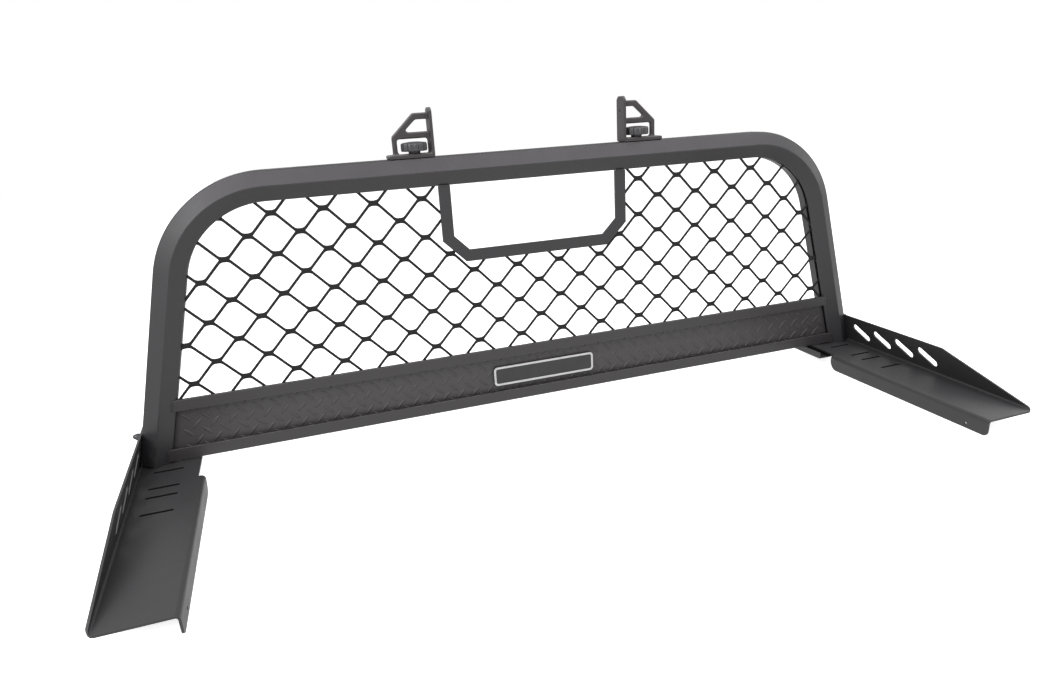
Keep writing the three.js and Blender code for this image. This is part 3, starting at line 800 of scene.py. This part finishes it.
def build_knob(side):
    """Lobed grip with a domed top and finger flutes, on a round boss."""
    node = "stop_knob_" + side
    low, high = (Vector(v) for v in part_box(node))
    centre = (low + high) / 2
    radius = (high.x - low.x) / 2
    bm = bmesh.new()
    count = KNOB_LOBES * POINTS_PER_LOBE
    loops = []
    for z, fluting, reach in knob_profile(low.z, high.z, radius):
        loop = []
        for i in range(count):
            a = 2 * math.pi * i / count
            wave = (0.5 - 0.5 * math.cos(KNOB_LOBES * a)) ** 2
            r = reach - KNOB_FLUTE * fluting * wave
            loop.append(bm.verts.new((centre.x + r * math.cos(a), centre.y + r * math.sin(a), z)))
        loops.append(loop)
    quad_loops(bm, loops)
    bm.faces.new(loops[0][::-1])
    bm.faces.new(loops[-1])
    bmesh.ops.recalc_face_normals(bm, faces=bm.faces)
    piece = new_piece("grip_" + side, bm, [PLASTIC], "knob_" + side, 40, weighted=False)
    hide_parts(node)


# ---------------------------------------------------------------- weld beads

RAIL_BEADS = ((116 * MM, 138 * MM), (9 * MM, 33 * MM))    # lower and upper ends, beside each rail
RAIL_BEAD_Y = -10.2 * MM
RAIL_BEAD_RADIUS = 1.7 * MM
RAIL_BEAD_LIFT = 0.5 * MM        # how far a bead's middle stands off the tube
WINDOW_BEAD_RADIUS = 1.8 * MM
WINDOW_BEAD_DEPTH = 0.6 * MM     # behind the front of the bars
WINDOW_BEAD_INSET = 2 * MM       # from the sides of a bar
BEAD_STEP = 0.5 * MM             # length of run between a bead's rings
BEAD_PARTS = 12


def bead(bm, start, end, radius, away):
    """A short row of overlapping weld ripples between two points, humped away from the corner."""
    start, end, away = Vector(start), Vector(end), Vector(away).normalized()
    run = end - start
    side = run.cross(away).normalized()
    steps = max(int(run.length / BEAD_STEP), 6)
    rings = []
    for i in range(steps + 1):
        t = i / steps
        fade = min(1.0, 0.35 + 4 * min(t, 1 - t))
        swell = radius * fade * (1 + 0.16 * abs(math.sin(i * 0.62)) + random.uniform(-0.04, 0.04))
        centre = start + run * t
        rings.append([bm.verts.new(centre + (away * math.cos(a) * 0.8 + side * math.sin(a)) * swell)
                      for a in (2 * math.pi * k / BEAD_PARTS for k in range(BEAD_PARTS))])
    quad_loops(bm, rings)
    bm.faces.new(rings[0][::-1])
    bm.faces.new(rings[-1])


def tube_x(z, inward):
    """Half width of the hoop at a height on an upright, this far inwards from its centre line."""
    return FOOT_X - SPLAY * z - inward / math.cos(THETA)


def facet_inward(y):
    """How far inwards the tube's front inner facet lies at a depth y."""
    edge = TUBE_Y - HEX_R
    return (y - edge) / (HEX_R / 2) * FLATS / 2


def build_welds():
    """Beads at the ends of the two rails and across the tops of the window's upright bars."""
    bm = bmesh.new()
    inward = facet_inward(RAIL_BEAD_Y)
    for sign in (-1, 1):
        for heights in RAIL_BEADS:
            start, end = ((sign * (tube_x(z, inward) - RAIL_BEAD_LIFT), RAIL_BEAD_Y, z) for z in heights)
            bead(bm, start, end, RAIL_BEAD_RADIUS, (-sign, -1, 0))
        x = sign * (WINDOW_HALF + WINDOW_BAR / 2)
        half = WINDOW_BAR / 2 - WINDOW_BEAD_INSET
        y = WINDOW_FRONT_Y + WINDOW_BEAD_DEPTH
        bead(bm, (x - half, y, WINDOW_TOP_Z), (x + half, y, WINDOW_TOP_Z), WINDOW_BEAD_RADIUS, (0, -1, -1))
    bmesh.ops.recalc_face_normals(bm, faces=bm.faces)
    new_piece("welds", bm, [COAT], "frame", 60, weighted=False)


# ---------------------------------------------------------------- assembly

build_hoop()
build_mesh_panel()
build_window()
build_tread_plate()
build_badge()
build_welds()
refined("upper_rail", "frame", LIT_RAIL_COAT, 1.0 * MM)
refined("lower_rail", "frame", LIT_RAIL_COAT, 0.9 * MM)
refined("rail_channel_right", "frame", COAT, 0.8 * MM)
for side in ("right", "left"):
    build_bracket(side)
    refined("foot_plug_" + side, "frame", COAT, 0.4 * MM, 2)
    refined("foot_screw_" + side, "frame", ZINC, 0.3 * MM, 2)
    refined("flange_bolt_" + side, "frame", BLACK_ZINC, 0.4 * MM, 2)
    refined("flange_nut_" + side, "frame", BLACK_ZINC, 0.4 * MM, 2, 35)
    refined("knob_stud_" + side, "knob_" + side, ZINC, 0.4 * MM, 2, 40)
    refined("knob_washer_" + side, "washer_" + side, NYLON, 0.3 * MM, 2, 40)
    refined("t_nut_" + side, "stop_" + side, ZINC, 0.6 * MM, 2)
    build_load_stop(side)
    build_knob(side)

# ---------------------------------------------------------------- floor, world and lights

FLOOR_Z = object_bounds()[0][2] - 0.5 * MM
FLOOR_HALF = 9.0
WORLD_LIGHT = 0.78               # strength of the white surroundings as a light


def build_floor():
    bm = bmesh.new()
    for x, y in ((-1, -1), (1, -1), (1, 1), (-1, 1)):
        bm.verts.new((x * FLOOR_HALF, y * FLOOR_HALF, FLOOR_Z))
    bm.faces.new(bm.verts)
    mesh = bpy.data.meshes.new("floor")
    bm.to_mesh(mesh)
    bm.free()
    n = Nodes("floor_paper")
    n.link(n.ramp(n.noise(3, 3), (0.3, 0.84), (0.7, 0.88)), "Base Color")
    n.set(Roughness=0.9, Specular_IOR_Level=0.0, Emission_Color=(1, 1, 1, 1), Emission_Strength=0.75)
    mesh.materials.append(n.material)
    floor = bpy.data.objects.new("floor", mesh)
    SCENE.collection.objects.link(floor)
    # The light that a real floor returns comes from the bounce lamp, so the floor itself is only seen.
    floor.visible_diffuse = floor.visible_glossy = floor.visible_shadow = False


def build_world():
    """Plain white surroundings, a little weaker as a light than as they are seen."""
    world = bpy.data.worlds.new("studio")
    world.use_nodes = True
    tree = world.node_tree
    background = tree.nodes["Background"]
    background.inputs["Color"].default_value = (1, 1, 1, 1)
    seen = tree.nodes.new("ShaderNodeLightPath").outputs["Is Camera Ray"]
    level = tree.nodes.new("ShaderNodeMapRange")
    tree.links.new(seen, level.inputs["Value"])
    level.inputs["To Min"].default_value = WORLD_LIGHT
    level.inputs["To Max"].default_value = 1.0
    tree.links.new(level.outputs[0], background.inputs["Strength"])
    SCENE.world = world


def softbox(name, at, aim, size, power, colour=(1, 1, 1)):
    """A rectangular lamp looking from one point at another; size in metres, power in watts."""
    data = bpy.data.lights.new(name, "AREA")
    data.shape = "RECTANGLE"
    data.size, data.size_y = size
    data.energy = power
    data.color = colour
    lamp = bpy.data.objects.new(name, data)
    SCENE.collection.objects.link(lamp)
    lamp.location = at
    lamp.rotation_euler = (Vector(aim) - Vector(at)).to_track_quat("-Z", "Y").to_euler()


build_floor()
build_world()
softbox("front_left", (-2.6, -2.2, 1.8), (0, 0, 0.3), (1.5, 1.5), 67)
softbox("front_right", (2.6, -2.2, 1.8), (0, 0, 0.3), (1.5, 1.5), 12)
softbox("right", (3.0, 0.3, 1.4), (0, 0, 0.3), (1.5, 1.5), 11)
softbox("overhead", (0, -1.3, 2.2), (0, -0.1, 0.3), (2.6, 1.4), 30, (0.99, 0.95, 1.0))
softbox("top_left", (-1.6, -0.4, 2.4), (-0.3, -0.1, 0.3), (1.5, 1.5), 22, (0.98, 0.94, 1.0))
softbox("top_right", (1.6, -0.4, 2.4), (0.3, -0.1, 0.3), (1.5, 1.5), 20, (0.98, 0.94, 1.0))
softbox("bounce", (0, -0.6, FLOOR_Z - 0.03), (0, -0.6, 1), (7, 7), 66)
